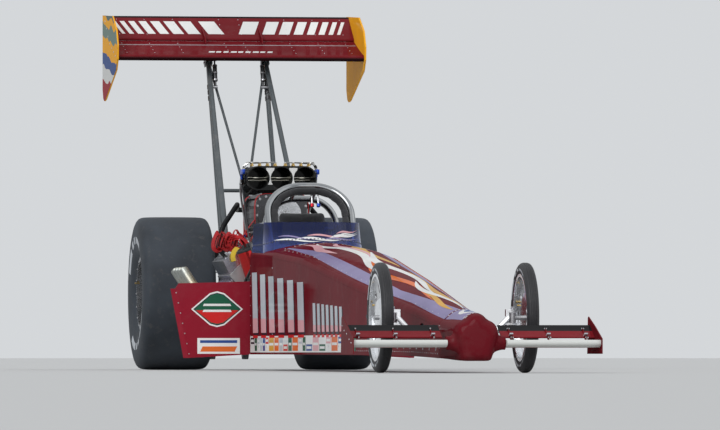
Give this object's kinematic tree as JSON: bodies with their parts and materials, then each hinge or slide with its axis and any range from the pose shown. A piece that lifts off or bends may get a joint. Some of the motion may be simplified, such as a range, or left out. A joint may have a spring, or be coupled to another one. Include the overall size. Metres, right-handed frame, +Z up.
{
  "type": "drag racing car",
  "caption": "Long rear-engined drag racing car with a tall rear wing, slick rear tyres, supercharged open engine, steered front wheels and a slim wedge body.",
  "frame": {"origin": "on the floor, mid-width and mid-length of the car", "axes": "+X car's left, -Y front (nose), +Z up"},
  "size_m": [1.524, 9.69, 2.175],
  "materials": {
    "body_paint": "deep maroon gloss",
    "windscreen_glass": "blue tinted clear sheet",
    "frame_paint": "black gloss powder coat",
    "seat_panel": "bare sheet",
    "head_padding": "black padded cover",
    "cage_chrome": "polished tube",
    "engine_alloy": "cast",
    "cover_alloy": "polished cast",
    "blower_alloy": "machined and cast",
    "hat_black": "black gloss",
    "belt_rubber": "toothed belt",
    "header_steel": "heat-tinted tube",
    "magneto_alloy": "red anodised caps",
    "clutch_can": "steel can",
    "axle_steel": "black",
    "disc_steel": "turned",
    "wheel_alloy": "polished",
    "tyre_rubber": "soft slick rubber",
    "strut_paint": "dark grey",
    "tank_black": "black anodised",
    "wing_paint": "deep maroon gloss",
    "endplate_paint": "golden yellow inside, patterned outside",
    "deflector_paint": "red maroon gloss",
    "pack_cloth": "woven nylon",
    "bar_chrome": "plated tube",
    "small_wheel_rubber": "solid tyre",
    "axle_chrome": "plated tube",
    "knuckle_steel": "machined",
    "front_wing_paint": "white leading edge, red flap",
    "front_endplate_paint": "maroon"
  },
  "bodies": {
    "car_frame": {"cockpit_tub": "body_paint", "cowl": "body_paint", "windscreen": "windscreen_glass", "nose_top": "body_paint", "nose_belly": "body_paint", "nose_cone": "body_paint", "chassis_frame": "frame_paint", "seat": "seat_panel", "head_pad": "head_padding", "steering_yoke": "frame_paint", "roll_cage": "cage_chrome", "engine_block": "engine_alloy", "oil_pan": "engine_alloy", "cylinder_heads": "engine_alloy", "valve_covers": "cover_alloy", "intake_manifold": "engine_alloy", "supercharger": "blower_alloy", "injector_hat": "hat_black", "blower_drive": "belt_rubber", "headers": "header_steel", "magnetos": "magneto_alloy", "clutch_housing": "clutch_can", "axle_housing": "axle_steel", "wing_struts": "strut_paint", "breather_tank": "tank_black", "rear_wing": "wing_paint", "rear_endplates": "endplate_paint", "deflectors": "deflector_paint", "parachute_packs": "pack_cloth", "wheelie_bar": "bar_chrome", "front_axle": "axle_chrome", "front_wing": "front_wing_paint", "front_endplates": "front_endplate_paint"},
    "rear_axle": {"axle_shaft": "disc_steel", "rear_wheels": "wheel_alloy", "rear_tyre_left": "tyre_rubber", "rear_tyre_right": "tyre_rubber"},
    "left_knuckle": {"knuckle_left": "knuckle_steel"},
    "right_knuckle": {"knuckle_right": "knuckle_steel"},
    "left_front_wheel": {"front_wheel_left": "wheel_alloy", "front_tyre_left": "tyre_rubber"},
    "right_front_wheel": {"front_wheel_right": "wheel_alloy", "front_tyre_right": "tyre_rubber"},
    "tie_rod": {"tie_rod": "knuckle_steel"},
    "wheelie_wheels": {"wheelie_wheels": "small_wheel_rubber"}
  },
  "joints": [
    {"name": "rear_axle_spin", "type": "hinge", "parent": "car_frame", "child": "rear_axle", "pos_m": [0, 3.575, 0.457], "axis": [1, 0, 0], "continuous": true},
    {"name": "left_steer", "type": "hinge", "parent": "car_frame", "child": "left_knuckle", "pos_m": [0.306, -4.045, 0.279], "axis": [0, 0, 1], "range_deg": [-14, 14]},
    {"name": "right_steer", "type": "hinge", "parent": "car_frame", "child": "right_knuckle", "pos_m": [-0.306, -4.045, 0.279], "axis": [0, 0, 1], "range_deg": [-14, 14]},
    {"name": "left_front_spin", "type": "hinge", "parent": "left_knuckle", "child": "left_front_wheel", "pos_m": [0.37, -4.045, 0.279], "axis": [1, 0, 0], "continuous": true},
    {"name": "right_front_spin", "type": "hinge", "parent": "right_knuckle", "child": "right_front_wheel", "pos_m": [-0.37, -4.045, 0.279], "axis": [1, 0, 0], "continuous": true},
    {"name": "tie_rod_pivot", "type": "hinge", "parent": "left_knuckle", "child": "tie_rod", "pos_m": [0.306, -3.935, 0.233], "axis": [0, 0, 1], "range_deg": [-14, 14]},
    {"name": "wheelie_spin", "type": "hinge", "parent": "car_frame", "child": "wheelie_wheels", "pos_m": [0, 4.695, 0.112], "axis": [1, 0, 0], "continuous": true}
  ],
  "couplings": [
    {"joint": "right_steer", "follows": "left_steer", "ratio": 1},
    {"joint": "tie_rod_pivot", "follows": "left_steer", "ratio": -1}
  ]
}
